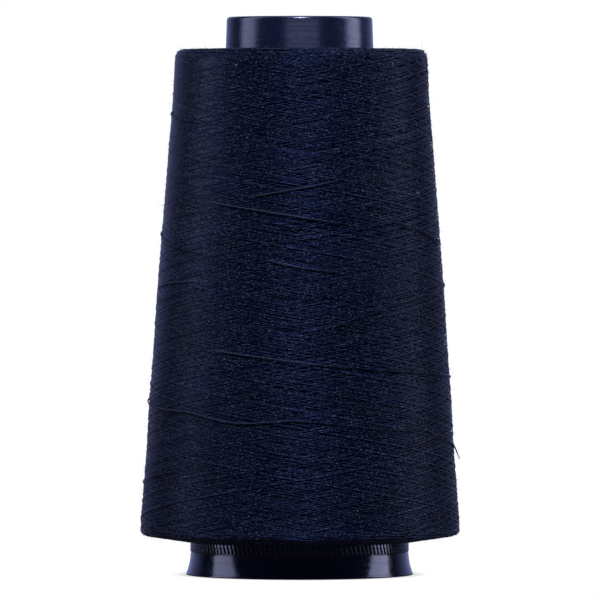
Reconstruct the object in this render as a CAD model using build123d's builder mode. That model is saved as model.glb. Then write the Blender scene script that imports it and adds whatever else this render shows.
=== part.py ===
from build123d import *
from math import cos, pi, radians, sin, tan
import os

# A cone of sewing thread, as overlock, quilting and other fast machines take from a thread stand:
# a thin-walled moulded plastic cone, the package of cross-wound thread on it, and the free end of
# the thread lying round the package. The cone is open from foot to nose, for the stand's pin.
#
# Millimetres and degrees. +Z is up, and the origin is the centre of the foot's flat face.

os.makedirs("parts", exist_ok=True)

# ---------------------------------------------------------------- driving dimensions

# Cone core, overall
cone_height = 125.0  # from the floor to the top of the nose
wall = 1.5  # at the foot of the winding surface, square to the axis

# Ribbed band, under the winding surface. Its fine slanted ribs grip the first turns of thread.
band_radius = 24.5  # over the ribs
band_height = 5.35  # most of it is under the thread
band_ledge = 0.1  # from the bottom of the ribs in to the winding surface
rib_count = 135
rib_depth = 0.35
rib_slant = 15.0  # from the vertical

# Foot, a flared ring under the band
foot_height = 4.85
neck_inset = 0.05  # of the neck, just under the groove, in from the ribs
foot_reach = 0.95  # the foot's lip over its neck
foot_lip = 0.3  # upright edge of the lip
flare_sagitta = 0.2  # hollow of the flare
groove_height = 0.3  # between the neck and the band
groove_depth = 0.25

# Bore of the foot, which a winder's chuck or a cone holder centres in
base_wall = 2.05  # left behind the groove
base_bore_length = 7.0
base_bore_chamfer = 0.4

# Nose, which stands out of the thread
nose_radius = 16.3  # at the rim
nose_length = 8.0
nose_half_angle = 2.0
nose_wall = 1.8  # at the rim
nose_bore_length = 4.0
nose_rim_chamfer = 0.45

# Stacking ribs inside the cone: the nose of an empty cone below butts on their flat ends
stack_rib_count = 6
stack_rib_width = 1.2
stack_pitch = 30.0  # height that each stacked cone adds
stack_rib_relief = 0.3  # their faces stay this far outside the nose bore

# Thread package
band_reveal = 2.15  # ribs that show below the thread
bottom_build = 11.35  # thickness of the thread at its wide end
top_build = 11.6  # and at its narrow end
bottom_face_angle = 8.5  # the wide end's face rises outwards
top_face_angle = 4.3  # and so does the narrow end's
package_edge_chamfer = 1.2
seat_clearance = 0.05  # between the thread and the core

# Free end of the thread
thread_diameter = 0.3
thread_sides = 5  # as good as round on so thin a thread
corner_share = 0.45  # of the shorter run beside a corner that the corner's arc takes

# Its route: bearing round the cone from the front, towards +X; height; and how far the thread's
# centre stands off the package's side
thread_route = [
    (-131, 41.6, 0.35),
    (-121, 40.8, 0.35),
    (-111, 40.2, 0.35),
    (-101, 39.6, 0.40),
    (-91, 39.1, 0.45),
    (-80, 38.4, 0.40),
    (-69, 37.7, 0.35),
    (-58, 37.4, 0.35),
    (-48, 37.3, 0.35),
    (-39, 36.4, 0.35),
    (-30, 35.2, 0.35),
    (-20, 34.7, 0.35),
    (-9, 35.4, 0.35),
    (1, 35.6, 0.35),
    (11, 34.9, 0.35),
    (22, 34.1, 0.35),
    (33, 33.4, 0.35),
    (44, 33.3, 0.35),
    (54, 33.0, 0.35),
    (63, 31.8, 0.35),
    (72, 30.5, 0.35),
    (81, 29.5, 0.40),
    (88, 28.4, 0.50),
    (93, 27.1, 0.95),
]

# ---------------------------------------------------------------- worked out from them

neck_radius = band_radius - neck_inset
foot_radius = neck_radius + foot_reach
groove_radius = neck_radius - groove_depth
base_bore_radius = groove_radius - base_wall

band_bottom = foot_height + groove_height
band_top = band_bottom + band_height
rib_turn = band_height * tan(radians(rib_slant)) / band_radius  # of the top of a rib past its foot

winding_bottom_radius = band_radius - rib_depth - band_ledge
winding_bottom_inner_radius = winding_bottom_radius - wall
winding_top = cone_height - nose_length
winding_top_radius = nose_radius + nose_length * tan(radians(nose_half_angle))
winding_slope = (winding_bottom_radius - winding_top_radius) / (winding_top - band_top)

nose_bore_radius = nose_radius - nose_wall
nose_bore_bottom = cone_height - nose_bore_length

base_bore_top = base_bore_length + winding_bottom_inner_radius - base_bore_radius

stack_rib_bottom = cone_height - stack_pitch
stack_rib_radius = nose_bore_radius + stack_rib_relief

package_bore_bottom = band_bottom + band_reveal
package_bore_radius = band_radius + seat_clearance
package_bore_ledge = band_top + seat_clearance
package_low_bore_radius = winding_bottom_radius + seat_clearance
package_top_bore_radius = winding_top_radius + seat_clearance
package_bottom_radius = band_radius + bottom_build
package_top_radius = winding_top_radius + top_build
package_bottom_reach = package_bottom_radius - package_bore_radius
package_bottom = package_bore_bottom + package_bottom_reach * tan(radians(bottom_face_angle))
package_top = winding_top + (package_top_radius - package_top_bore_radius) * tan(radians(top_face_angle))
package_slope = (package_bottom_radius - package_top_radius) / (package_top - package_bottom)


def wall_middle_radius(height):
    """Middle of the core's wall, at a height of the winding surface."""
    return winding_bottom_radius - wall / 2 - (height - band_top) * winding_slope


def rib_outline(turn):
    """Points of the band's saw-toothed outline, a crest and a root for each rib, turned by an angle."""
    points = []
    for rib in range(rib_count):
        crest_angle = 2 * pi * rib / rib_count + turn
        root_angle = 2 * pi * (rib + 0.5) / rib_count + turn
        root_radius = band_radius - rib_depth
        points.append((band_radius * cos(crest_angle), band_radius * sin(crest_angle)))
        points.append((root_radius * cos(root_angle), root_radius * sin(root_angle)))
    return points


def on_package(bearing, height, stand_off):
    """A point off the package's side, at a bearing round the axis from the front."""
    radius = package_bottom_radius - (height - package_bottom) * package_slope + stand_off
    return radius * sin(radians(bearing)), -radius * cos(radians(bearing)), height


def corner_radii(points):
    """The largest arc that each corner of a route has room for."""
    radii = []
    for before, corner, after in zip(points, points[1:], points[2:]):
        run_in = Vector(corner) - Vector(before)
        run_out = Vector(after) - Vector(corner)
        half_turn = radians(run_in.get_angle(run_out)) / 2
        radii.append(corner_share * min(run_in.length, run_out.length) / tan(half_turn))
    return radii


# ---------------------------------------------------------------- cone core

# One stacking rib, upright against the inner wall, with a flat lower end
with BuildPart() as stack_rib:
    with BuildSketch(Plane.XZ):
        with BuildLine():
            Polyline(
                (stack_rib_radius, stack_rib_bottom),
                (wall_middle_radius(stack_rib_bottom), stack_rib_bottom),
                (wall_middle_radius(winding_top), winding_top),
                (wall_middle_radius(winding_top), nose_bore_bottom),
                (stack_rib_radius, nose_bore_bottom),
                close=True,
            )
        make_face()
    extrude(amount=stack_rib_width / 2, both=True)

with BuildPart() as cone_core:
    # outside: foot, groove, room for the band, winding surface and nose
    with BuildSketch(Plane.XZ):
        with BuildLine():
            Polyline((0, foot_height), (0, 0), (foot_radius, 0), (foot_radius, foot_lip))
            SagittaArc((foot_radius, foot_lip), (neck_radius, foot_height), flare_sagitta)
            Polyline(
                (neck_radius, foot_height),
                (groove_radius, foot_height),
                (groove_radius, band_top),
                (winding_bottom_radius, band_top),
                (winding_top_radius, winding_top),
                (nose_radius, cone_height),
                (0, cone_height),
                (0, foot_height),
            )
        make_face()
    revolve(axis=Axis.Z)
    # ribbed band, its ribs leaning as they climb
    with BuildSketch(Plane.XY.offset(band_bottom)):
        Polygon(*rib_outline(0), align=None)
    with BuildSketch(Plane.XY.offset(band_top)):
        Polygon(*rib_outline(-rib_turn), align=None)
    loft(ruled=True)
    # bore, right through
    with BuildSketch(Plane.XZ):
        with BuildLine():
            Polyline(
                (0, 0),
                (base_bore_radius, 0),
                (base_bore_radius, base_bore_length),
                (winding_bottom_inner_radius, base_bore_top),
                (winding_bottom_inner_radius, band_top),
                (nose_bore_radius, nose_bore_bottom),
                (nose_bore_radius, cone_height),
                (0, cone_height),
                close=True,
            )
        make_face()
    revolve(axis=Axis.Z, mode=Mode.SUBTRACT)
    foot_circles = edges().filter_by(GeomType.CIRCLE).group_by(Axis.Z)[0].sort_by(SortBy.RADIUS)
    chamfer(foot_circles[0], length=base_bore_chamfer)
    chamfer(edges().filter_by(GeomType.CIRCLE).group_by(Axis.Z)[-1], length=nose_rim_chamfer)
    with PolarLocations(0, stack_rib_count):
        add(stack_rib.part)

cone_core.part.label = "cone_core"
export_step(cone_core.part, "parts/cone_core.step")

# ---------------------------------------------------------------- thread package

# Some thousands of metres of thread, wound crosswise between the ribbed band and the nose. Its two
# end faces are shallow dishes, square to the wind rather than to the axis.
with BuildPart() as thread_package:
    with BuildSketch(Plane.XZ) as package_section:
        with BuildLine():
            Polyline(
                (package_bore_radius, package_bore_bottom),
                (package_bottom_radius, package_bottom),
                (package_top_radius, package_top),
                (package_top_bore_radius, winding_top),
                (package_low_bore_radius, package_bore_ledge),
                (package_bore_radius, package_bore_ledge),
                close=True,
            )
        make_face()
        chamfer(package_section.vertices().sort_by(Axis.X)[-1], length=package_edge_chamfer)
        chamfer(package_section.vertices().sort_by(Axis.Y)[-1], length=package_edge_chamfer)
    revolve(axis=Axis.Z)

thread_package.part.label = "thread_package"
export_step(thread_package.part, "parts/thread_package.step")

# ---------------------------------------------------------------- free end of the thread

route_points = [on_package(*place) for place in thread_route]
route_radii = corner_radii(route_points)

with BuildPart() as loose_thread_end:
    with BuildLine() as thread_path:
        FilletPolyline(*route_points, radius=route_radii)
    with BuildSketch(Plane(origin=thread_path.line @ 0, z_dir=thread_path.line % 0)) as thread_section:
        RegularPolygon(thread_diameter / 2, thread_sides)
    sweep()

loose_thread_end.part.label = "loose_thread_end"
export_step(loose_thread_end.part, "parts/loose_thread_end.step")

thread_length = thread_path.wire().length
tube_volume = thread_section.sketch.area * thread_length
print("arc radii of the thread's route:", [round(radius, 1) for radius in route_radii])
print("length of the free end:", round(thread_length, 1))
print("volume over section times length:", round(loose_thread_end.part.volume / tube_volume, 4))
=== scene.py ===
from math import cos, hypot, pi, radians, sin, sqrt

import bpy
import numpy as np
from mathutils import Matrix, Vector


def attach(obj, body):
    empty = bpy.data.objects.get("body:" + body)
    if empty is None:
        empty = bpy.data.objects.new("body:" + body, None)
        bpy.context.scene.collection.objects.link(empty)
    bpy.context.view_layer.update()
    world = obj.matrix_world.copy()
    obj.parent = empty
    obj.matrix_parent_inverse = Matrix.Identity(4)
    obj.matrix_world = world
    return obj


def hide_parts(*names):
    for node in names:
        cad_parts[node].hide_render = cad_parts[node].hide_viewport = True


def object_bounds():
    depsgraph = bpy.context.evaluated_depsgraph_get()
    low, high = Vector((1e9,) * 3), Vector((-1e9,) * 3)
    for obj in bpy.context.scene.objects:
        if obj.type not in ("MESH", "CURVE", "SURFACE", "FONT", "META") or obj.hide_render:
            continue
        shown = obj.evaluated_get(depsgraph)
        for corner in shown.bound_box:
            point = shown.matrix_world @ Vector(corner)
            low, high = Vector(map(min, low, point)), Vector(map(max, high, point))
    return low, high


# A cone of dark sewing thread, for overlock and quilting machines. Lengths are in metres, written as
# so many mm, and lists of places hold degrees and plain millimetres. All is in the frame of the packed
# model: +Z up, the foot's flat face on z = 0, and the front at -Y.
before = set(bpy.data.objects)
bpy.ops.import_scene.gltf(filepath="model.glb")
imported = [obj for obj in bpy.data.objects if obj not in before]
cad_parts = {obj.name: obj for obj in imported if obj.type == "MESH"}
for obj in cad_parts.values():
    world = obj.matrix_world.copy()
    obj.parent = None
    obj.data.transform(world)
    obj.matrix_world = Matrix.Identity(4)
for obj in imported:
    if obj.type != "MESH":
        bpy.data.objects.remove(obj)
cad_low, cad_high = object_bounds()
mm = 0.001

# ---------------- camera
# A long lens, level with the upper third of the cone and aimed at its middle.
camera_place = Vector((0, -1.834, 0.092))
camera_target = Vector((0.0001, 0, 0.06155))
focal_length = 490.6  # in millimetres, on a sensor 36 mm wide
bpy.ops.object.camera_add(
    location=camera_place, rotation=(camera_target - camera_place).to_track_quat("-Z", "Y").to_euler()
)
camera = bpy.context.object
camera.data.sensor_width = 36
camera.data.lens = focal_length
camera.data.clip_start = 0.05
camera.data.clip_end = 60
bpy.context.scene.camera = camera

# ---------------- cone core
# One thin-walled injection moulding in dark polystyrene, polished in the mould: a flared foot, a
# groove, a band of fine slanted ribs, a winding surface that the thread hides, and a smooth nose.
core_segments = 240
flare_steps = 8
cone_height = cad_high.z
foot_radius = 25.4 * mm
foot_lip = 0.3 * mm
foot_height = 4.85 * mm
flare_sagitta = 0.2 * mm
neck_radius = 24.45 * mm
groove_radius = 24.2 * mm
band_bottom = 5.15 * mm
band_top = 10.5 * mm
band_radius = 24.5 * mm
rib_root_radius = 24.15 * mm
winding_bottom_radius = 24.05 * mm
winding_top = 117.0 * mm
winding_top_radius = 16.58 * mm
nose_radius = 16.3 * mm
nose_bore_radius = 14.5 * mm
nose_rim_round = 0.65 * mm
bore_rim_round = 0.4 * mm
foot_lip_round = 0.08 * mm
nose_rings = (7.5 * mm, 1.0 * mm)  # below the rim, so that the nose's edges keep their shading to themselves
nose_bore_bottom = 121.0 * mm
inner_bottom_radius = 22.55 * mm
base_bore_radius = 22.15 * mm
base_bore_length = 7.0 * mm
rib_count = 135
rib_slant = radians(15)
rib_width = 0.74 * mm
rib_overlap = 0.3 * mm  # of a rib into the wall behind it
rib_edge_round = 0.1 * mm
stack_rib_count = 6
stack_rib_width = 1.2 * mm
stack_rib_depth = 1.6 * mm
stack_rib_overlap = 0.8 * mm
stack_rib_edge_round = 0.12 * mm
stack_rib_bottom = 95.0 * mm
stack_rib_radius = 14.8 * mm
smooth_below = radians(32)  # edges that turn more than this stay sharp
same_place = 0.01 * mm  # for an edge to count as lying on a ring


def flare_points(steps):
    """The foot's hollow flare from its lip up to its neck, as radius and height."""
    support = 0.04  # share of the flare at which a ring keeps an edge's shading to itself
    low, high = Vector((foot_radius, foot_lip)), Vector((neck_radius, foot_height))
    inward = Vector((low.y - high.y, high.x - low.x)).normalized()
    points = []
    shares = [step / steps for step in range(steps + 1)]
    for share in [0, support, *shares[1:-1], 1 - support, 1]:
        hollow = 4 * share * (1 - share) * flare_sagitta
        points.append(tuple(low.lerp(high, share) + inward * hollow))
    return points


def select_rings(piece, rings):
    """In edit mode, selects a turned piece's edges on these rings, each a radius and a height."""
    bpy.ops.object.mode_set(mode="OBJECT")
    for part in (piece.data.polygons, piece.data.edges, piece.data.vertices):
        part.foreach_set("select", np.zeros(len(part), bool))
    for edge in piece.data.edges:
        ends = [piece.data.vertices[i].co for i in edge.vertices]
        for radius, height in rings:
            off_radius = max(abs(hypot(end.x, end.y) - radius) for end in ends)
            off_height = max(abs(end.z - height) for end in ends)
            if off_radius < same_place and off_height < same_place:
                edge.select = True
    bpy.ops.object.mode_set(mode="EDIT")
    bpy.ops.mesh.select_mode(type="EDGE")


def start_bar(name, size, middle):
    """A square-edged bar, of this size and with its middle here, for a rib to be made from."""
    bpy.ops.object.select_all(action="DESELECT")
    bpy.ops.mesh.primitive_cube_add(size=1, location=(0, 0, 0))
    bar = bpy.context.object
    bar.name = name
    bpy.ops.object.mode_set(mode="EDIT")
    bpy.ops.mesh.select_all(action="SELECT")
    bpy.ops.transform.resize(value=size)
    bpy.ops.transform.translate(value=middle)
    bpy.ops.object.mode_set(mode="OBJECT")
    return bar


def repeat_round(count):
    """Repeats the rib that is in edit mode round the z axis, and turns all faces outwards."""
    bpy.ops.mesh.select_all(action="SELECT")
    around = 2 * pi * (count - 1) / count
    bpy.ops.mesh.spin(steps=count - 1, dupli=True, angle=around, center=(0, 0, 0), axis=(0, 0, 1))
    bpy.ops.mesh.select_all(action="SELECT")
    bpy.ops.mesh.normals_make_consistent(inside=False)
    bpy.ops.object.mode_set(mode="OBJECT")


def turn_ring(name, profile, segments):
    """A closed ring about the z axis, drawn up from a circle, one circle for each radius and height."""
    bpy.ops.object.select_all(action="DESELECT")
    bpy.ops.mesh.primitive_circle_add(vertices=segments, radius=profile[0][0], location=(0, 0, 0))
    piece = bpy.context.object
    piece.name = name
    bpy.ops.object.mode_set(mode="EDIT")
    bpy.ops.mesh.select_mode(type="EDGE")
    bpy.ops.mesh.select_all(action="SELECT")
    bpy.ops.transform.translate(value=(0, 0, profile[0][1]))
    for (radius, height), (next_radius, next_height) in zip(profile, profile[1:]):
        bpy.ops.mesh.extrude_edges_move(TRANSFORM_OT_translate={"value": (0, 0, next_height - height)})
        growth = next_radius / radius
        bpy.ops.transform.resize(value=(growth, growth, 1), center_override=(0, 0, next_height))
    bpy.ops.mesh.select_all(action="DESELECT")
    bpy.ops.mesh.select_non_manifold()
    bpy.ops.mesh.bridge_edge_loops()
    bpy.ops.mesh.select_all(action="SELECT")
    bpy.ops.mesh.normals_make_consistent(inside=False)
    bpy.ops.object.mode_set(mode="OBJECT")
    return piece


nose_slope = (winding_top_radius - nose_radius) / (cone_height - winding_top)
core_profile = [(base_bore_radius, 0), (foot_radius, 0)]
core_profile += flare_points(flare_steps)
core_profile += [
    (groove_radius, foot_height),
    (groove_radius, band_bottom),
    (rib_root_radius, band_bottom),
    (rib_root_radius, band_top),
    (winding_bottom_radius, band_top),
    (winding_top_radius, winding_top),
    *[(nose_radius + nose_slope * below, cone_height - below) for below in nose_rings],
    (nose_radius, cone_height),
    (nose_bore_radius, cone_height),
    (nose_bore_radius, nose_bore_bottom),
    (inner_bottom_radius, band_top),
    (inner_bottom_radius, base_bore_length + inner_bottom_radius - base_bore_radius),
    (base_bore_radius, base_bore_length),
]
core = turn_ring("cone_core_moulding", core_profile, core_segments)
select_rings(core, [(nose_radius, cone_height)])
bpy.ops.mesh.bevel(offset=nose_rim_round, segments=5)
select_rings(core, [(nose_bore_radius, cone_height), (base_bore_radius, 0)])
bpy.ops.mesh.bevel(offset=bore_rim_round, segments=3)
select_rings(core, [(foot_radius, 0), (foot_radius, foot_lip)])
bpy.ops.mesh.bevel(offset=foot_lip_round, segments=2)
bpy.ops.object.mode_set(mode="OBJECT")

# one rib, a short bar with rounded edges, leaned over and then repeated round the band
rib_height = band_top - band_bottom
rib_depth = band_radius - rib_root_radius + rib_overlap
rib_middle = (band_bottom + band_top) / 2
rib_centre = (0, rib_depth / 2 - band_radius, rib_middle)
ribs = start_bar("core_ribs", (rib_width, rib_depth, rib_height), rib_centre)
for edge in ribs.data.edges:
    edge.select = all(ribs.data.vertices[i].co.y < -rib_root_radius for i in edge.vertices)
for face in ribs.data.polygons:
    face.select = False
for vertex in ribs.data.vertices:
    vertex.select = vertex.co.y < -rib_root_radius
bpy.ops.object.mode_set(mode="EDIT")
bpy.ops.mesh.select_mode(type="EDGE")
bpy.ops.mesh.bevel(offset=rib_edge_round, segments=2)
bpy.ops.mesh.select_all(action="SELECT")
bpy.ops.transform.rotate(value=rib_slant, orient_axis="Y", center_override=(0, -band_radius, rib_middle))
repeat_round(rib_count)

# the stacking ribs, upright bars up the inner wall, with flat lower ends
stack_rib_height = nose_bore_bottom - stack_rib_bottom
stack_rib_middle = stack_rib_radius + stack_rib_depth / 2
wall_slope = (inner_bottom_radius - nose_bore_radius) / (nose_bore_bottom - band_top)
stack_ribs = start_bar(
    "core_stacking_ribs",
    (stack_rib_depth, stack_rib_width, stack_rib_height),
    (stack_rib_middle, 0, (nose_bore_bottom + stack_rib_bottom) / 2),
)
for vertex in stack_ribs.data.vertices:
    if vertex.co.x > stack_rib_middle:
        wall_radius = nose_bore_radius + (nose_bore_bottom - vertex.co.z) * wall_slope
        vertex.co.x = wall_radius + stack_rib_overlap
bpy.ops.object.mode_set(mode="EDIT")
bpy.ops.mesh.select_mode(type="EDGE")
bpy.ops.mesh.select_all(action="SELECT")
bpy.ops.mesh.bevel(offset=stack_rib_edge_round, segments=2)
repeat_round(stack_rib_count)


def linear(hex_colour):
    """An sRGB hex colour as the linear colour that a shader takes."""
    channels = [int(hex_colour[i : i + 2], 16) / 255 for i in (0, 2, 4)]
    return tuple(c / 12.92 if c <= 0.04045 else ((c + 0.055) / 1.055) ** 2.4 for c in channels) + (1.0,)


def node(tree, kind, settings=None, links=None):
    """Adds a node of a kind, such as Math, with its settings and what feeds it: a socket, or a node
    for its first output. An input is named, or numbered where its node uses a name twice."""
    made = tree.nodes.new("ShaderNode" + kind)
    for key, value in (settings or {}).items():
        if isinstance(key, int) or key in made.inputs:
            made.inputs[key].default_value = value
        else:
            setattr(made, key, value)
    for key, source in (links or {}).items():
        socket = source if isinstance(source, bpy.types.NodeSocket) else source.outputs[0]
        tree.links.new(socket, made.inputs[key])
    return made


def material(name):
    """A new material, and its node tree, emptied."""
    made = bpy.data.materials.new(name)
    made.use_nodes = True
    made.node_tree.nodes.clear()
    return made, made.node_tree


# Polystyrene, injection moulded in a polished and turned mould. It gives the eye sharp bright streaks
# on near-black navy, broken by fine rings from the turning and a slight ripple from the cooling, and
# a little duller where dust lies and where the nose is handled.
plastic_colour, gloss_tint = "0D1024", "C8CEFF"
moulded_ior = 1.55  # from polystyrene's 1.59, lowered a little to match the shine
clean_roughness, dusty_roughness = 0.11, 0.22
handled_roughness = 0.09  # added to them round the nose
ring_spacing = 0.42 * mm  # turned rings are finer, and are drawn as coarse as they need to be to show
uncut_level, cut_level = 0.6, 0.72  # of the noise that places the rings
ring_depth = 0.03 * mm
scratch_spacing = 0.3 * mm  # of the scratches round the nose, drawn coarser for the same reason
scratch_depth = 0.014 * mm
ripple_size = 7 * mm
ripple_depth = 0.05 * mm
dust_size = 0.7 * mm
clean_level, dusty_level = 0.4, 0.75  # of the noise that places the dust
moulded_polystyrene, tree = material("moulded_polystyrene")
place = node(tree, "TexCoord").outputs["Object"]
upwards = node(tree, "SeparateXYZ", None, {"Vector": place}).outputs["Z"]
rings = node(
    tree, "TexNoise", {"noise_dimensions": "1D", "Scale": 1 / ring_spacing, "Detail": 1.0}, {"W": upwards}
)
ring_cuts = node(
    tree,
    "MapRange",
    {"From Min": uncut_level, "From Max": cut_level, "To Min": 1.0, "To Max": 0.0},
    {"Value": rings},
)
ring_bump = node(tree, "Bump", {"Strength": 0.35, "Distance": ring_depth}, {"Height": ring_cuts})
handled = node(tree, "MapRange", {"From Min": winding_top, "From Max": winding_top + mm}, {"Value": upwards})
scratches = node(
    tree, "TexNoise", {"noise_dimensions": "1D", "Scale": 1 / scratch_spacing, "Detail": 3.0}, {"W": upwards}
)
scratch_bump = node(
    tree, "Bump", {"Distance": scratch_depth}, {"Strength": handled, "Height": scratches, "Normal": ring_bump}
)
ripple = node(tree, "TexNoise", {"Scale": 1 / ripple_size, "Detail": 2.0}, {"Vector": place})
surface = node(
    tree, "Bump", {"Strength": 0.5, "Distance": ripple_depth}, {"Height": ripple, "Normal": scratch_bump}
)
dust = node(tree, "TexNoise", {"Scale": 1 / dust_size, "Detail": 4.0}, {"Vector": place})
rough = node(
    tree,
    "MapRange",
    {"From Min": clean_level, "From Max": dusty_level, "To Min": clean_roughness, "To Max": dusty_roughness},
    {"Value": dust},
)
rough = node(tree, "Math", {"operation": "MULTIPLY_ADD", 1: handled_roughness}, {0: handled, 2: rough})
plastic = node(
    tree,
    "BsdfPrincipled",
    {"Base Color": linear(plastic_colour), "IOR": moulded_ior, "Specular Tint": linear(gloss_tint)},
    {"Roughness": rough, "Normal": surface},
)
node(tree, "OutputMaterial", None, {"Surface": plastic})

for piece in (core, ribs, stack_ribs):
    piece.data.materials.append(moulded_polystyrene)
    bpy.ops.object.select_all(action="DESELECT")
    piece.select_set(True)
    bpy.context.view_layer.objects.active = piece
    bpy.ops.object.shade_smooth_by_angle(angle=smooth_below)
    bpy.ops.object.modifier_add(type="WEIGHTED_NORMAL")
    piece.modifiers[0].keep_sharp = True
    bpy.ops.object.modifier_apply(modifier=piece.modifiers[0].name)
    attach(piece, "root")
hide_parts("cone_core")

# ---------------- thread package, the wind
# Some thousands of metres of one spun polyester thread, wound crosswise on the turning core while a
# guide runs up and down. Each traverse climbs or falls about 10 degrees, lies across those below, and
# turns back at an end face. Only the traverses that can be seen are made; a closed body lies under them.
thread_width = 0.27 * mm  # as it lies, a little flattened by its tension
thread_height = 0.17 * mm
settled_height = 0.06 * mm  # what a thread adds where it crosses others, once they have bedded in
turns_per_traverse = 3.0902  # an uneven number, so that no traverse falls on an earlier one
wind_step = 0.4 * mm  # between the stations at which the wind is worked out
covers = 4.0  # layers of wind that are laid over each other
turn_round = 15  # stations that a turn-back is rounded over
turn_overrun = 0.4 * mm  # of a turn-back past the end of the side
turn_scatter = 0.7 * mm  # of the turn-backs, inwards from there
bearing_scatter = 0.006  # of the turn-backs round the core, in turns
bridging = 41  # stations over which a thread, held taut, spans the hollows under it
package_bore_radius = 24.55 * mm
package_bore_bottom = 7.3 * mm
package_bottom_radius = 35.85 * mm
package_bottom = 9.0 * mm
package_top_radius = 28.16 * mm
package_top = 117.9 * mm
package_top_bore_radius = 16.63 * mm
package_top_bore = 117.0 * mm
bottom_round = 3.2 * mm  # length of profile that an edge is rounded over
top_round = 6.5 * mm
# the wind lies a little to one side of the core, and more so near its top
lean_heights = (package_bottom, package_top)
lean = (0.1 * mm, 0.38 * mm)
lean_eased = 1.5 * mm  # of radius over which it comes in
# the side isn't quite straight: heights, and how far it sinks there or, below 0, swells, in mm
side_sink = [(12, -0.14), (18, -0.1), (28, 0), (39, -0.2), (52, -0.1), (62, -0.2), (74, -0.12), (84, 0)]
side_sink += [(97, 0.12), (106, 0.26), (112, 0.14)]
outline_step = 0.1 * mm
outline_middle = 60 * mm  # above it the upper edge's rounding holds, and below it the lower edge's
steep_side = 0.9  # the side is where the outline faces outwards by more than this


def evenly(points, step):
    """Points along a run of straight lines, a step apart."""
    points = np.asarray(points, float)
    along = np.concatenate([[0], np.cumsum(np.linalg.norm(np.diff(points, axis=0), axis=1))])
    stations = np.arange(0, along[-1] + step / 2, step)
    return np.column_stack([np.interp(stations, along, column) for column in points.T])


def softened(values, width):
    """A running mean with soft shoulders, an odd number of values wide, that holds its ends."""
    window = np.hanning(width + 2)[1:-1]
    held = np.pad(values, width // 2, mode="edge")
    return np.convolve(held, window / window.sum(), "valid")


def package_outline():
    """The package's half section from bore to bore: along it, radius, height and the way outwards."""
    corners = [(package_bore_radius, package_bore_bottom), (package_bottom_radius, package_bottom)]
    for height, sink in side_sink:
        share = (height * mm - package_bottom) / (package_top - package_bottom)
        radius = package_bottom_radius + share * (package_top_radius - package_bottom_radius)
        corners.append((radius - sink * mm, height * mm))
    corners += [(package_top_radius, package_top), (package_top_bore_radius, package_top_bore)]
    points = evenly(corners, outline_step)
    tight, wide = int(bottom_round / outline_step) | 1, int(top_round / outline_step) | 1
    upper = points[:, 1] > outline_middle
    radius, height = [np.where(upper, softened(values, wide), softened(values, tight)) for values in points.T]
    along = np.concatenate([[0], np.cumsum(np.hypot(np.diff(radius), np.diff(height)))])
    slope_radius, slope_height = np.gradient(radius, along), np.gradient(height, along)
    length = np.hypot(slope_radius, slope_height)
    return along, radius, height, slope_height / length, -slope_radius / length


outline_along, outline_radius, outline_height, outline_out, outline_up = package_outline()
side_stations = outline_along[outline_out > steep_side]
side_start, side_end = side_stations[0], side_stations[-1]
side_length = side_end - side_start


def on_outline(along, table):
    """Values of one of the outline's tables, at places along it."""
    return np.interp(along, outline_along, table)


def along_at(heights):
    """Places along the outline at heights up the side, which are in mm."""
    side = (outline_along >= side_start) & (outline_along <= side_end)
    return np.interp(np.array(heights) * mm, outline_height[side], outline_along[side])


def package_points(bearing, along, lift):
    """Points over the package's surface: bearing round the axis, place along the outline, and lift."""
    radius = on_outline(along, outline_radius) + lift * on_outline(along, outline_out)
    height = on_outline(along, outline_height) + lift * on_outline(along, outline_up)
    eased = np.clip((radius - package_bore_radius) / lean_eased, 0, 1)
    aside = np.interp(height, lean_heights, lean) * eased
    return np.column_stack([radius * np.sin(bearing) + aside, -radius * np.cos(bearing), height])


def package_outward(bearing, along):
    """The way out of the package's surface."""
    out, up = on_outline(along, outline_out), on_outline(along, outline_up)
    return np.column_stack([out * np.sin(bearing), -out * np.cos(bearing), up])


def wind_path(rng):
    """Bearing, place along the outline and traverse number of one long thread, station by station."""
    traverse_length = turns_per_traverse * pi * (package_bottom_radius + package_top_radius)
    traverses = int(covers * side_length / (turns_per_traverse * thread_width))
    number = np.arange(traverses + 1)
    ends = np.where(number % 2, side_end + turn_overrun, side_start - turn_overrun)
    inwards = np.where(number % 2, -1, 1)
    ends = ends + inwards * np.abs(rng.normal(0, turn_scatter, traverses + 1))
    reached = number * traverse_length
    stations = np.arange(0, reached[-1], wind_step)
    along = softened(np.interp(stations, reached, ends), turn_round)
    climb = np.gradient(along, wind_step)
    raw = np.cumsum(np.sqrt(1 - climb**2) * wind_step / on_outline(along, outline_radius))
    wanted = 2 * pi * (turns_per_traverse * number + rng.normal(0, bearing_scatter, traverses + 1))
    drift = wanted - np.interp(reached, stations, raw)
    return raw + np.interp(stations, reached, drift), along, (stations / traverse_length).astype(int)


arc_half_length = 8 * mm  # of the thread that a turn-back shows on an end face
arc_crown = 55 * mm  # radius of the hump that it makes there
arc_cover = 3.8  # layers of arcs on an end face
arc_skew = 0.02  # spread of their slopes, inwards or outwards
arc_depth = 0.12 * mm  # that arcs lie in, one over another
bore_gap = 0.3 * mm  # left clear beside the bore
shoulder_lap = 1.2 * mm  # of the arcs over the end of the side


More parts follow.
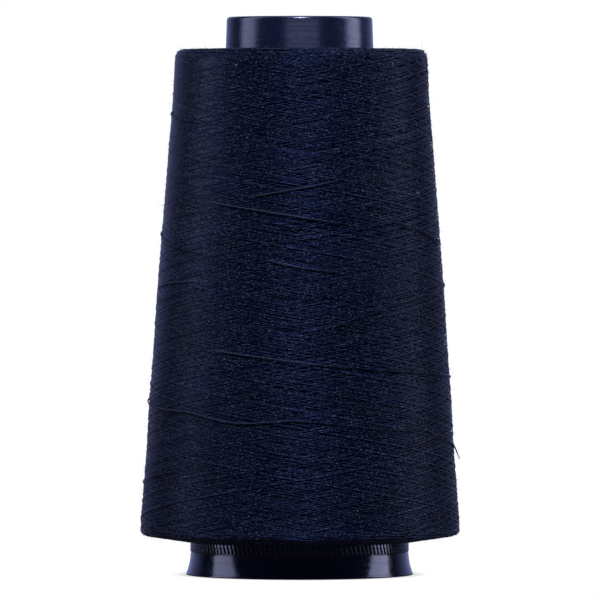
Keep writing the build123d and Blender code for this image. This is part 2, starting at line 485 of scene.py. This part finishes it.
def end_face_arcs(rng):
    """The short arcs that the turn-backs show on the end faces: bearing, place, lift and arc number."""
    bearings, alongs, lifts, numbers = [], [], [], []
    arc_stations = np.arange(-arc_half_length, arc_half_length, wind_step)
    bottom_face = (bore_gap, side_start + shoulder_lap)
    top_face = (side_end - shoulder_lap, outline_along[-1] - bore_gap)
    for low, high in (bottom_face, top_face):
        radii = on_outline(np.array([low, high]), outline_radius)
        face = pi * abs(radii[1] ** 2 - radii[0] ** 2)
        count = int(arc_cover * face / (2 * arc_half_length * thread_width))
        for number in range(count):
            radius = sqrt(rng.uniform(min(radii) ** 2, max(radii) ** 2))
            share = (radius - radii[0]) / (radii[1] - radii[0])
            middle = low + share * (high - low)
            skew = rng.normal(0, arc_skew)
            bearings.append(rng.uniform(0, 2 * pi) + arc_stations / radius)
            alongs.append(np.clip(middle + skew * arc_stations, low, high))
            lifts.append(rng.uniform(-arc_depth, 0.0) - arc_stations**2 / (2 * arc_crown))
            numbers.append(np.full(len(arc_stations), len(numbers)))
    return [np.concatenate(values) for values in (bearings, alongs, lifts, numbers)]


# the pile of thread is a table of heights: rows up the outline and columns round the core
columns = 420
cell = thread_width / 2
rows = int(outline_along[-1] / cell) + 3


def cells(bearing, along):
    """The lower of the two cells of the pile that each station of thread lies on."""
    row = np.clip((along / cell - 0.5).astype(int), 0, rows - 2)
    column = (bearing / (2 * pi) * columns).astype(int) % columns
    return row, column


buried_by = 0.02 * mm  # of pile over a thread's top, for it to be out of sight
near_stations, open_stations = 7, 3  # a station is kept where 3 of the 7 round it are open
shortest_stretch = 5  # stations


def kept_stations(pile, row, column, top, first_of_strand, every):
    """Stations to model, a list for each stretch of thread that shows, and a little way on under others."""
    buried = np.minimum(pile[row, column], pile[row + 1, column]) > top + buried_by
    kept = np.convolve(~buried, np.ones(near_stations), "same") >= open_stations
    kept[first_of_strand] = False
    edges = np.flatnonzero(np.diff(np.concatenate([[0], kept.astype(int), [0]])))
    stretches = []
    for start, end in zip(edges[::2], edges[1::2]):
        if end - start > shortest_stretch:
            stretches.append(np.append(np.arange(start, end - 2, every), end - 1))
    return stretches


# the side, laid length by length on whatever is under it
side_every, face_every = 7, 5  # stations from one point of a modelled thread to the next
rng = np.random.default_rng(11)
bearing, along, traverse = wind_path(rng)
row, column = cells(bearing, along)
pile = np.zeros((rows, columns))
lie = np.empty(len(along))
reach = 400  # stations laid at a time, under one turn of the core
settling = 7  # stations that its lie is evened over
for start in range(0, len(along), reach):
    laid = slice(start, start + reach)
    ground = np.maximum(pile[row[laid], column[laid]], pile[row[laid] + 1, column[laid]])
    lie[laid] = softened(ground, bridging)
    for beside in (0, 1):
        under = pile[row[laid] + beside, column[laid]]
        pile[row[laid] + beside, column[laid]] = np.maximum(under, lie[laid] + settled_height)
away_from_ends = 20  # rows
level = np.median(pile[int(side_start / cell) + away_from_ends : int(side_end / cell) - away_from_ends])
top = lie + settled_height
lift = softened(lie, settling) - level + settled_height - thread_height / 2
side_stretches = kept_stations(pile, row, column, top, np.array([0]), side_every)
side_points = package_points(bearing, along, lift)
side_outward = package_outward(bearing, along)

# the end faces
arc_bearing, arc_along, arc_lift, arc_number = end_face_arcs(rng)
arc_row, arc_column = cells(arc_bearing, arc_along)
arc_pile = np.full((rows, columns), arc_lift.min())
for beside in (0, 1):
    np.maximum.at(arc_pile, (arc_row + beside, arc_column), arc_lift)
arc_firsts = np.flatnonzero(np.diff(arc_number, prepend=-1))
face_stretches = kept_stations(arc_pile, arc_row, arc_column, arc_lift, arc_firsts, face_every)
face_points = package_points(arc_bearing, arc_along, arc_lift)
face_outward = package_outward(arc_bearing, arc_along)


def thread_mesh(name, points, outward, stretches, half_width, half_height, tone_and_painted_light):
    """Closed tubes of flattened section along stretches of points. Each point carries a tone, which the
    thread's material reads: 0 to 1 in the wind, differing at random; over 2 for painted light, paler; and
    under 0 for painted shade, darker. The UV map runs along the thread in millimetres and once round it."""
    kept = np.concatenate(stretches)
    sizes = np.array([len(stretch) for stretch in stretches])
    firsts = np.cumsum(sizes) - sizes
    number = np.arange(len(kept))
    is_first, is_last = np.isin(number, firsts), np.isin(number, firsts + sizes - 1)
    centre, out = points[kept], outward[kept]
    ahead = centre[np.where(is_last, number, number + 1).clip(max=len(kept) - 1)]
    behind = centre[np.where(is_first, number, number - 1).clip(min=0)]
    way = ahead - behind
    way /= np.linalg.norm(way, axis=1, keepdims=True)
    side = np.cross(way, out)
    side /= np.linalg.norm(side, axis=1, keepdims=True)
    out = np.cross(side, way)
    ring = [(0, 1), (1, 0), (0, -1), (-1, 0)]
    corners = [centre + side * half_width * across + out * half_height * up for across, up in ring]
    vertices = np.stack(corners, axis=1).reshape(-1, 3)
    step = np.concatenate([[0], np.linalg.norm(np.diff(centre, axis=0), axis=1)])
    far = np.cumsum(np.where(is_first, 0, step)) / mm
    runs = number[~is_last]
    start, end = 4 * runs, 4 * runs + 4
    near_u, far_u = far[runs], far[runs + 1]
    quads, round_uv = [], []
    for corner in range(4):
        beyond = (corner + 1) % 4
        quads.append(np.stack([start + corner, start + beyond, end + beyond, end + corner], axis=1))
        low_v, high_v = np.full(len(runs), corner / 4), np.full(len(runs), (corner + 1) / 4)
        round_uv.append(np.stack([near_u, low_v, near_u, high_v, far_u, high_v, far_u, low_v], axis=1))
    caps = np.zeros((2 * len(stretches), 8))
    first, last = 4 * number[is_first], 4 * number[is_last]
    quads.append(np.stack([first + 3, first + 2, first + 1, first], axis=1))
    quads.append(np.stack([last, last + 1, last + 2, last + 3], axis=1))
    mesh = bpy.data.meshes.new(name)
    mesh.from_pydata(vertices, [], np.concatenate(quads))
    mesh.polygons.foreach_set("use_smooth", np.ones(len(mesh.polygons), bool))
    mesh.uv_layers.new(name="thread").data.foreach_set("uv", np.concatenate(round_uv + [caps]).ravel())
    tones = mesh.attributes.new("tone_and_painted_light", "FLOAT", "POINT")
    tones.data.foreach_set("value", np.repeat(tone_and_painted_light[kept], 4).astype(np.float32))
    piece = bpy.data.objects.new(name, mesh)
    bpy.context.scene.collection.objects.link(piece)
    return piece


side_tone = rng.uniform(0, 1, traverse.max() + 1)[traverse]
face_tone = rng.uniform(0, 1, arc_number.max() + 1)[arc_number]
half_section = (thread_width / 2, thread_height / 2)
bands = 5  # pieces that the side's thread is shared out to, one above another
middles = np.array([along[stretch[len(stretch) // 2]] for stretch in side_stretches])
band_of = np.clip(((middles - side_start) / side_length * bands).astype(int), 0, bands - 1)
wound = []
for band in range(bands):
    name = f"wound_thread_{band + 1}"
    chosen = [side_stretches[i] for i in np.flatnonzero(band_of == band)]
    wound.append(thread_mesh(name, side_points, side_outward, chosen, *half_section, side_tone))
face_middles = np.array([arc_along[stretch[len(stretch) // 2]] for stretch in face_stretches])
on_bottom = face_middles < outline_along[-1] / 2
for name, on_face in (("turned_thread_bottom", on_bottom), ("turned_thread_top", ~on_bottom)):
    chosen = [face_stretches[i] for i in np.flatnonzero(on_face)]
    wound.append(thread_mesh(name, face_points, face_outward, chosen, *half_section, face_tone))

# threads that lie slack on the rest for a stretch: bearing and height of places along each
slack_threads = [
    [(-36, 83.3), (-30.4, 82.8), (-10, 81.2), (9.4, 79.5), (16, 79.0)],
    [(-17, 85.2), (-10.9, 85.7), (0.4, 86.8), (11.3, 87.9)],
    [(14.5, 56.6), (22.4, 58.1), (31.3, 59.4)],
    [(39.7, 60.9), (54.8, 62.7), (75, 63.9), (100, 65.8)],
    [(-32, 50.6), (-28, 50.3), (-10.4, 49.1), (6.5, 47.8), (32.6, 46.5), (78.2, 44.9), (90, 44.4)],
    [(-80, 64.6), (-66, 65.6), (-52, 66.0)],
    [(-9, 70.3), (2, 69.0), (12, 68.4)],
    [(44, 79.0), (58, 77.4), (74, 74.6)],
    [(46, 29.7), (50.2, 30.2), (60.3, 31.6)],
]
slack_at_back = 16  # more of them, which start within these limits
back_bearings, back_heights = (100, 250), (16, 112)
back_slopes, back_turns = (0.05, 0.1), (25, 70)  # climb or fall to a degree, and degrees in all
for _ in range(slack_at_back):
    first_bearing, first_height = rng.uniform(*back_bearings), rng.uniform(*back_heights)
    slope, turn = rng.choice([-1, 1]) * rng.uniform(*back_slopes), rng.uniform(*back_turns)
    slack_threads.append([(first_bearing + on, first_height + slope * on) for on in (0, turn / 2, turn)])
slack_section = (0.12 * mm, 0.11 * mm)  # half the width and half the height of one
slack_rise = 0.2 * mm
slack_tail = 4 * mm  # over which an end sinks in among the others
slack_sunk = 0.25 * mm  # of an end under the top of the wind
slack_softening = 15  # stations
painted_shadow_aside, painted_shadow_drop = 0.26 * mm, 0.1 * mm  # of the painted shadow under it, a dark strand set beside it and lower
# the tone of painted shadow, which darkens a strand to the deepest dye
painted_shadow_tone = -4.0
# painted light and shade: slack thread is paler at the left of the front, darker towards the right
painted_light_bearings, slack_painted_light_at_bearings = (0, 40), (2.45, 1.4)


def slack_path(places):
    """Bearing, place along the outline and lift of a thread through these places, its ends sunk."""
    bearings, heights = np.array(places).T
    alongs = along_at(heights)
    radius = on_outline(alongs.mean(), outline_radius)
    flat = np.column_stack([np.radians(bearings) * radius, alongs])
    first_way, last_way = flat[0] - flat[1], flat[-1] - flat[-2]
    before = flat[0] + slack_tail * first_way / np.hypot(*first_way)
    after = flat[-1] + slack_tail * last_way / np.hypot(*last_way)
    path = evenly(np.vstack([before, flat, after]), wind_step)
    path = np.column_stack([softened(column, slack_softening) for column in path.T])
    number = np.arange(len(path))
    from_end = np.clip(np.minimum(number, number[::-1]) * wind_step / slack_tail, 0, 1)
    eased = from_end**2 * (3 - 2 * from_end)
    return path[:, 0] / radius, path[:, 1], eased * (slack_rise + slack_sunk) - slack_sunk


slack_points, slack_outward, slack_stretches, slack_painted_light_and_shadow = [], [], [], []
reached = 0
for places in slack_threads:
    slack_bearing, slack_along, slack_lift = slack_path(places)
    painted_light_tone = np.interp(np.degrees(slack_bearing), painted_light_bearings, slack_painted_light_at_bearings)
    # each slack thread, painted lighter or darker by its bearing, and under it a dark strand of painted
    # shadow
    for beside, lower, tone_and_painted_light in ((0, 0, painted_light_tone), (painted_shadow_aside, painted_shadow_drop, painted_shadow_tone)):
        slack_points.append(package_points(slack_bearing, slack_along - beside, slack_lift - lower))
        slack_outward.append(package_outward(slack_bearing, slack_along))
        slack_stretches.append(np.arange(len(slack_bearing)) + reached)
        slack_painted_light_and_shadow.append(np.full(len(slack_bearing), tone_and_painted_light))
        reached += len(slack_bearing)
slack_points, slack_outward, slack_painted_light_and_shadow = map(np.concatenate, (slack_points, slack_outward, slack_painted_light_and_shadow))
wound.append(
    thread_mesh("slack_thread_painted_light_and_shadow", slack_points, slack_outward, slack_stretches, *slack_section, slack_painted_light_and_shadow)
)

# fibre ends that stand out of the spun thread
hair_count = 4600
hair_stations = 4
hair_half_width = 0.014 * mm  # about twice a fibre's, to show
hair_lengths_mm = (0.3, 1.0)
hair_curl = 0.35
hair_tone = 1.5
hair_root_lift = 0.02 * mm
hair_outward = (0.05, 0.5)  # how far it stands out, against how far it leans aside
hair_aside = 0.6
hair_span = (-0.03, 1.05)  # of the side, and a little past its ends, that they stand on
past_bottom, past_top = 2 * mm, 6 * mm  # furthest that one stands past its ends
shoulder_scatter = 1.3 * mm
shoulder_shorter = 0.4  # of a hair's length where it is rubbed


def hair_paths(roots, ways, lengths, rng):
    """Points along curling hairs, from their roots on their ways."""
    share = np.linspace(0, 1, hair_stations)[None, :, None]
    curl = rng.normal(0, hair_curl, (len(roots), 1, 3))
    return roots[:, None] + lengths[:, None, None] * (share * ways[:, None] + share**2 * curl)


def hair_mesh(name, paths, half_width, tone_and_painted_light, rng):
    """A closed tube for each hair."""
    count = len(paths)
    stretches = list(np.arange(count * hair_stations).reshape(count, hair_stations))
    askew = rng.normal(0, 1, (count * hair_stations, 3))
    tones = np.full(len(askew), tone_and_painted_light)
    return thread_mesh(name, paths.reshape(-1, 3), askew, stretches, half_width, half_width, tones)


# one hair in 8 is at the shoulder, which is rubbed the most and has the shortest
at_shoulder = slice(None, None, 8)
hair_along = side_start + side_length * rng.uniform(*hair_span, hair_count)
hair_along[at_shoulder] = side_end + rng.normal(0, shoulder_scatter, len(hair_along[at_shoulder]))
hair_along = np.clip(hair_along, side_start - past_bottom, side_end + past_top)
hair_bearing = rng.uniform(0, 2 * pi, hair_count)
hair_roots = package_points(hair_bearing, hair_along, np.full(hair_count, hair_root_lift))
hair_ways = package_outward(hair_bearing, hair_along) * rng.uniform(*hair_outward, (hair_count, 1))
hair_ways = hair_ways + rng.normal(0, hair_aside, (hair_count, 3))
hair_lengths = rng.uniform(*hair_lengths_mm, hair_count) * mm
hair_lengths[at_shoulder] *= shoulder_shorter
hair_places = hair_paths(hair_roots, hair_ways, hair_lengths, rng)
hairs = hair_mesh("thread_fibre_ends", hair_places, hair_half_width, hair_tone, rng)
wound.append(hairs)

# the body of the package under the thread that shows
body_inset = 0.3 * mm  # of its surface under the package's outline
body_rings, body_segments = 90, 160
body_profile = []
for place in np.linspace(0, outline_along[-1], body_rings):
    radius = on_outline(place, outline_radius) - body_inset * on_outline(place, outline_out)
    height = on_outline(place, outline_height) - body_inset * on_outline(place, outline_up)
    body_profile.append((float(radius), float(height)))
body = turn_ring("wound_body", body_profile, body_segments)

# Polyester sewing thread, spun from short fibres, twisted of two plies and dyed near-black navy. It
# gives the eye a dull and slightly bluish dark, with pale specks painted into its colour as glints where
# fibres catch the light. Threads and patches of the wind differ a little in depth, and the tone that each
# point carries also paints light and shade on some threads.
thread_dark, thread_light = "010308", "0B122C"
# painted glints: the pale colour of specks where fibres catch the light
painted_glint_colour = "3E4354"
thread_gloss, thread_gloss_tint = 0.12, "7E9AFF"
deep_roughness, light_roughness = 0.4, 0.22
ply_lay = 1.0 * mm  # from one ply to the next along the thread, drawn coarser than it is to show
ply_depth = 0.03 * mm
patch_size = 12 * mm
patch_share, fibre_share = 2.0, 5.0  # of the patches and the fibres in the dye's depth, beside the tone with its painted light and shade
dark_level, light_level = 3.1, 5.2  # of the three together
fibre_size = 0.3 * mm  # single fibres are far finer, and are drawn as coarse as they need to be to show
painted_glint_size = 0.27 * mm  # of the painted glints, pale specks, drawn coarser for the same reason
painted_glint_edge, painted_glint_level = 0.58, 0.7  # of the noise that places the painted glints
painted_light_start, painted_light_full = 2.0, 3.0  # the tone at which painted light begins to pale the thread, and where it is as pale as a painted glint
spun_polyester, tree = material("spun_polyester_thread")
# each point's tone: at random in the wind, or painted light and painted shade
tone_and_painted_light_value = node(tree, "Attribute", {"attribute_name": "tone_and_painted_light"}).outputs["Fac"]
place = node(tree, "TexCoord").outputs["Object"]
patches = node(tree, "TexNoise", {"Scale": 1 / patch_size, "Detail": 3.0}, {"Vector": place})
fibres = node(tree, "TexNoise", {"Scale": 1 / fibre_size, "Detail": 2.0}, {"Vector": place})
dye_depth_and_painted_light = node(tree, "Math", {"operation": "MULTIPLY_ADD", 1: patch_share}, {0: patches, 2: tone_and_painted_light_value})
dye_depth_and_painted_light = node(tree, "Math", {"operation": "MULTIPLY_ADD", 1: fibre_share}, {0: fibres, 2: dye_depth_and_painted_light})
dye_depth_and_painted_light = node(tree, "MapRange", {"From Min": dark_level, "From Max": light_level}, {"Value": dye_depth_and_painted_light})
# the dye, darker or paler also with the painted light and shade in the tone
dye_with_painted_light = node(tree, "Mix", {"data_type": "RGBA", 6: linear(thread_dark), 7: linear(thread_light)}, {0: dye_depth_and_painted_light})
# painted glints, then joined by painted light on thread whose tone is high
painted_glints_and_light = node(tree, "TexNoise", {"Scale": 1 / painted_glint_size, "Detail": 1.0}, {"Vector": place})
painted_glints_and_light = node(tree, "MapRange", {"From Min": painted_glint_edge, "From Max": painted_glint_level}, {"Value": painted_glints_and_light})
# painted light: thread with a high tone is paled towards the glints' colour
painted_light_paling = node(tree, "MapRange", {"From Min": painted_light_start, "From Max": painted_light_full}, {"Value": tone_and_painted_light_value})
painted_glints_and_light = node(tree, "Math", {"operation": "MAXIMUM"}, {0: painted_glints_and_light, 1: painted_light_paling})
dye_with_painted_light = node(tree, "Mix", {"data_type": "RGBA", 7: linear(painted_glint_colour)}, {0: painted_glints_and_light, 6: dye_with_painted_light.outputs[2]})
around = node(tree, "UVMap", {"uv_map": "thread"})
turned = node(tree, "Mapping", {"Scale": (2 * mm / ply_lay, 1, 0)}, {"Vector": around})
wave_scale = pi / 10  # puts the wave's diagonal bands two units apart
plies = node(tree, "TexWave", {"bands_direction": "DIAGONAL", "Scale": wave_scale}, {"Vector": turned})
ply_bump = node(tree, "Bump", {"Strength": 0.5, "Distance": ply_depth}, {"Height": plies})
worn = node(tree, "MapRange", {"To Min": deep_roughness, "To Max": light_roughness}, {"Value": dye_depth_and_painted_light})
skin = node(
    tree,
    "BsdfPrincipled",
    {"Specular IOR Level": thread_gloss, "Specular Tint": linear(thread_gloss_tint)},
    {"Base Color": dye_with_painted_light.outputs[2], "Roughness": worn, "Normal": ply_bump},
)
node(tree, "OutputMaterial", None, {"Surface": skin})

# Single fibres of the same polyester: smooth filaments, paler than the thread because so little dye
# lies in the way of the light, and far too fine for a pattern to show on them.
filament_colour, filament_gloss_tint = "4A5070", "8FA5FF"
filament_roughness = 0.5
polyester_fibre, tree = material("polyester_fibre_ends")
skin = node(
    tree,
    "BsdfPrincipled",
    {
        "Base Color": linear(filament_colour),
        "Roughness": filament_roughness,
        "Specular Tint": linear(filament_gloss_tint),
    },
)
node(tree, "OutputMaterial", None, {"Surface": skin})

for piece in wound + [body]:
    piece.data.materials.append(polyester_fibre if piece == hairs else spun_polyester)
    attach(piece, "root")
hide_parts("thread_package")

# ---------------- free end of the thread
# The last stretch of the same thread, which has sprung off the side and lies round the package in one
# long falling line. It ends bare, a little frayed, at the right of the front.
# its route: bearing round the cone from the front, towards +X; height; and stand-off from the side
thread_route = [
    (-131, 41.6, 0.35),
    (-121, 40.8, 0.35),
    (-111, 40.2, 0.35),
    (-101, 39.6, 0.40),
    (-91, 39.1, 0.45),
    (-80, 38.4, 0.40),
    (-69, 37.7, 0.35),
    (-58, 37.4, 0.35),
    (-48, 37.3, 0.35),
    (-39, 36.4, 0.35),
    (-30, 35.2, 0.35),
    (-20, 34.7, 0.35),
    (-9, 35.4, 0.35),
    (1, 35.6, 0.35),
    (11, 34.9, 0.35),
    (22, 34.1, 0.35),
    (33, 33.4, 0.35),
    (44, 33.3, 0.35),
    (54, 33.0, 0.35),
    (63, 31.8, 0.35),
    (72, 30.5, 0.35),
    (81, 29.5, 0.40),
    (88, 28.4, 0.50),
    (93, 27.1, 0.95),
]
package_slope = (package_bottom_radius - package_top_radius) / (package_top - package_bottom)
route_points = []
for bearing_degrees, height, stand_off in thread_route:
    radius = package_bottom_radius - (height * mm - package_bottom) * package_slope + stand_off * mm
    turned_by = radians(bearing_degrees)
    route_points.append((radius * sin(turned_by), -radius * cos(turned_by), height * mm))
curve = bpy.data.curves.new("free_end_route", "CURVE")
curve.dimensions = "3D"
curve.resolution_u = 24
spline = curve.splines.new("NURBS")
spline.points.add(len(route_points) - 1)
for control, point in zip(spline.points, route_points):
    control.co = (*point, 1)
spline.order_u = 3
spline.use_endpoint_u = True
route = bpy.data.objects.new("free_end_route", curve)
bpy.context.scene.collection.objects.link(route)
line = bpy.data.meshes.new_from_object(route)
centreline = np.array([vertex.co[:] for vertex in line.vertices])
bpy.data.objects.remove(route)
bpy.data.meshes.remove(line)

# two plies, twisted about the centreline
ply_pitch = 1.3 * mm
ply_radius = 0.085 * mm
ply_offset = 0.065 * mm
ply_step = 0.13 * mm
free_painted_light_at_bearings = (2.35, -0.5)  # painted light and shade, as tones at the same two bearings as for the slack threads
fine = evenly(centreline, ply_step)
fine_way = np.gradient(fine, axis=0)
fine_way /= np.linalg.norm(fine_way, axis=1, keepdims=True)
radial = fine * (1, 1, 0)
across = np.cross(fine_way, radial)
across /= np.linalg.norm(across, axis=1, keepdims=True)
outwards = np.cross(across, fine_way)
phase = 2 * pi * np.arange(len(fine)) * ply_step / ply_pitch
free_points, free_outward, free_stretches = [], [], []
for ply in (0, pi):
    spoke = across * np.cos(phase + ply)[:, None] + outwards * np.sin(phase + ply)[:, None]
    free_stretches.append(np.arange(len(fine)) + len(fine) * len(free_points))
    free_points.append(fine + ply_offset * spoke)
    free_outward.append(spoke)
free_points, free_outward = np.concatenate(free_points), np.concatenate(free_outward)
# painted light at the left of the front, and painted shade towards the right
fine_bearing = np.degrees(np.arctan2(fine[:, 0], -fine[:, 1]))
free_painted_light_tone = np.tile(np.interp(fine_bearing, painted_light_bearings, free_painted_light_at_bearings), 2)
free_end = thread_mesh(
    "free_thread_end", free_points, free_outward, free_stretches, ply_radius, ply_radius, free_painted_light_tone
)

# painted shadow: a dark strand just below it, for the shade that it casts on the wind where it stands off
free_shadow_section = (0.15 * mm, 0.08 * mm)
free_shadow_drop = 0.27 * mm
free_shadow_points = fine - (0, 0, free_shadow_drop)
free_shadow_tones = np.full(len(fine), painted_shadow_tone)
free_end_painted_shadow = thread_mesh(
    "free_end_painted_shadow_strand", free_shadow_points, outwards, [np.arange(len(fine))], *free_shadow_section, free_shadow_tones
)

# its cut tip has come unlaid, and a few tufts of fibre droop from it
fray_count = 5
fray_half_width = 0.04 * mm
fray_lengths_mm = (0.9, 1.9)
fray_tone = 0.8
fray_spread = 0.1
fray_droop = (0.1, 0, -0.5)
fray_hold = 0.3 * mm  # of a tuft inside the thread
fray_scatter = 0.03 * mm
tip, tip_way = centreline[-1], centreline[-1] - centreline[-4]
tip_way /= np.linalg.norm(tip_way)
fray_ways = tip_way + rng.normal(0, fray_spread, (fray_count, 3)) + fray_droop
fray_roots = tip - tip_way * fray_hold + rng.normal(0, fray_scatter, (fray_count, 3))
fray_paths = hair_paths(fray_roots, fray_ways, rng.uniform(*fray_lengths_mm, fray_count) * mm, rng)
fray = hair_mesh("free_end_fray", fray_paths, fray_half_width, fray_tone, rng)

for piece in (free_end_painted_shadow, fray, free_end):
    piece.data.materials.append(spun_polyester)
    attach(piece, "root")
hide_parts("loose_thread_end")

# ---------------- lint
# A few flecks of cotton lint from other work, short curled tufts that cling to the hairy thread.
# They fell on it as it stood in use, and only the thread's hairs hold them.

# bearing and height of each
lint_places = [(-20.6, 114.4), (-31, 114), (45.8, 114), (49.2, 106), (57.1, 85.6), (41.9, 38.3)]
lint_places += [(150, 70), (210, 96), (-130, 40)]
lint_half_width = 0.045 * mm
lint_lengths_mm = (0.5, 1.1)
lint_outward, lint_aside = 0.2, 0.5
lint_lift = 0.12 * mm
lint_tone = 1.0
lint_bearings, lint_heights = np.array(lint_places).T
lint_bearing, lint_along = np.radians(lint_bearings), along_at(lint_heights)
lint_roots = package_points(lint_bearing, lint_along, np.full(len(lint_places), lint_lift))
lint_ways = package_outward(lint_bearing, lint_along) * lint_outward
lint_ways = lint_ways + rng.normal(0, lint_aside, (len(lint_places), 3))
lint_paths = hair_paths(lint_roots, lint_ways, rng.uniform(*lint_lengths_mm, len(lint_places)) * mm, rng)
lint = hair_mesh("lint", lint_paths, lint_half_width, lint_tone, rng)

# Cotton, worn off cloth in fine tufts. It gives the eye small matt pale flecks, each lighter in some
# places than in others.
lint_colours = ("7C8196", "B4B8C6")
tuft_size = 0.2 * mm
cotton_lint, tree = material("cotton_lint")
place = node(tree, "TexCoord").outputs["Object"]
tufts = node(tree, "TexNoise", {"Scale": 1 / tuft_size}, {"Vector": place})
fluff = node(
    tree, "Mix", {"data_type": "RGBA", 6: linear(lint_colours[0]), 7: linear(lint_colours[1])}, {0: tufts}
)
skin = node(
    tree, "BsdfPrincipled", {"Roughness": 0.9, "Specular IOR Level": 0.2}, {"Base Color": fluff.outputs[2]}
)
node(tree, "OutputMaterial", None, {"Surface": skin})
lint.data.materials.append(cotton_lint)
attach(lint, "root")

# ---------------- studio
# A white floor and backdrop, a faint broad light overhead, a tall panel at each side, a bright one high
# in front, and a small strip close to the nose. The rest of the room is dark, which is what leaves the
# polished plastic so black.
floor_radius = 110 * mm
floor_sides = 128
floor_colour = (0.03, 0.03, 0.03, 1)  # linear, and dark: its white comes from its own glow
floor_white = 0.99
floor_mirrored = 0.06
floor_bounce = 0.4
bounce_full, bounce_end = 36 * mm, 60 * mm  # from the axis: it is full out to here, and gone there
painted_shadow_reach = 4 * mm  # of the painted shadow under the foot
bpy.ops.object.select_all(action="DESELECT")
bpy.ops.mesh.primitive_circle_add(
    vertices=floor_sides, radius=floor_radius, fill_type="NGON", location=(0, 0, 0)
)
floor = bpy.context.object
floor.name = "floor"


def mirrored_rays(tree, light_path):
    """1 for the rays that see the room in gloss or through glass, and 0 for all others."""
    glossy, through = light_path.outputs["Is Glossy Ray"], light_path.outputs["Is Transmission Ray"]
    return node(tree, "Math", {"operation": "MAXIMUM"}, {0: glossy, 1: through})


# A matt white board. It is as white as paper to the camera, and only faintly bright in the gloss of the
# plastic and on the underside of the cone. Where the foot stands on it, a painted shadow darkens its glow.
white_floor, tree = material("white_floor")
light_path = node(tree, "LightPath")
paint = node(tree, "BsdfDiffuse", {"Color": floor_colour})
mirrored = mirrored_rays(tree, light_path)
mirrored = node(tree, "Math", {"operation": "MULTIPLY", 1: floor_mirrored}, {0: mirrored})
seen = node(tree, "Math", {"operation": "MAXIMUM"}, {0: light_path.outputs["Is Camera Ray"], 1: mirrored})
position = node(tree, "TexCoord").outputs["Object"]
from_axis = node(tree, "VectorMath", {"operation": "LENGTH"}, {0: position}).outputs["Value"]
bounce = node(
    tree,
    "MapRange",
    {"From Min": bounce_end, "From Max": bounce_full, "To Max": floor_bounce},
    {"Value": from_axis},
)
bounce = node(tree, "Math", {"operation": "MULTIPLY"}, {0: bounce, 1: light_path.outputs["Is Diffuse Ray"]})
seen = node(tree, "Math", {"operation": "MAXIMUM"}, {0: seen, 1: bounce})
# painted shadow: the glow is darkened by occlusion where the foot and the cone stand close over it
painted_contact_shadow = node(tree, "AmbientOcclusion", {"Distance": painted_shadow_reach}).outputs["AO"]
seen = node(tree, "Math", {"operation": "MULTIPLY"}, {0: seen, 1: painted_contact_shadow})
seen = node(tree, "Math", {"operation": "MULTIPLY", 1: floor_white}, {0: seen})
glow = node(tree, "Emission", None, {"Strength": seen})
board = node(tree, "AddShader", None, {0: paint, 1: glow})
node(tree, "OutputMaterial", None, {"Surface": board})
floor.data.materials.append(white_floor)

# The backdrop, white to the camera. Glossy and transmitted rays see it too, where they go backwards
# past the cone, and the rest of the room gives a faint bluish light.
backdrop_colour = "FFFFFF"
backdrop_mirrored = 0.85
backdrop_start, backdrop_full = 0.5, 1.0  # share of a ray's way that is backwards
room_strength, room_colour = 0.02, "B0BAFF"
world = bpy.data.worlds.new("studio")
bpy.context.scene.world = world
world.use_nodes = True
tree = world.node_tree
tree.nodes.clear()
direction = node(tree, "TexCoord").outputs["Generated"]
backwards = node(tree, "SeparateXYZ", None, {"Vector": direction}).outputs["Y"]
light_path = node(tree, "LightPath")
backdrop = node(
    tree,
    "MapRange",
    {"From Min": backdrop_start, "From Max": backdrop_full, "To Max": backdrop_mirrored},
    {"Value": backwards},
)
mirrored = mirrored_rays(tree, light_path)
mirrored = node(tree, "Math", {"operation": "MULTIPLY"}, {0: mirrored, 1: backdrop})
white = node(tree, "Math", {"operation": "MAXIMUM"}, {0: light_path.outputs["Is Camera Ray"], 1: mirrored})
seen = node(tree, "Math", {"operation": "MAXIMUM", 1: room_strength}, {0: white})
cast = node(
    tree,
    "Mix",
    {"data_type": "RGBA", 6: linear(room_colour), 7: linear(backdrop_colour)},
    {0: light_path.outputs["Is Camera Ray"]},
)
background = node(tree, "Background", None, {"Color": cast.outputs[2], "Strength": seen})
node(tree, "OutputWorld", None, {"Surface": background})

overhead = bpy.data.lights.new("overhead", "SUN")
overhead.energy = 0.4
overhead.angle = radians(30)
overhead_object = bpy.data.objects.new("overhead", overhead)
overhead_object.rotation_euler = (radians(-14), 0, 0)
bpy.context.scene.collection.objects.link(overhead_object)

panel_colour = "EEF1FF"
panel_target = Vector((0, 0, 65 * mm))


def light_panel(name, bearing_degrees, distance, height, width, tall, radiance):
    """A panel that faces the middle of the cone, at a bearing from the front, unseen by the camera."""
    light = bpy.data.lights.new(name, "AREA")
    light.shape = "RECTANGLE"
    light.size = width
    light.size_y = tall
    light.energy = radiance * pi * width * tall
    light.color = linear(panel_colour)[:3]
    panel = bpy.data.objects.new(name, light)
    turned_by = radians(bearing_degrees)
    panel.location = (distance * sin(turned_by), -distance * cos(turned_by), height)
    panel.rotation_euler = (panel_target - panel.location).to_track_quat("-Z", "Y").to_euler()
    panel.visible_camera = False
    bpy.context.scene.collection.objects.link(panel)
    return panel


# bearing, distance, height, width, height of the panel itself, and radiance
light_panel("left_panel", -87.5, 0.5, 0.26, 0.27, 0.66, 3.3)
light_panel("right_panel", 93.5, 0.5, 0.26, 0.26, 0.66, 4.5)
light_panel("front_panel", 2, 0.7, 0.9, 0.16, 0.32, 125.0)
# the strip shows only in gloss, as a sheen on the nose, and gives the thread no plain light
nose_strip = light_panel("nose_strip", 4, 0.13, 0.132, 0.12, 0.03, 1.8)
nose_strip.visible_diffuse = False

bpy.context.scene.view_settings.view_transform = "Standard"
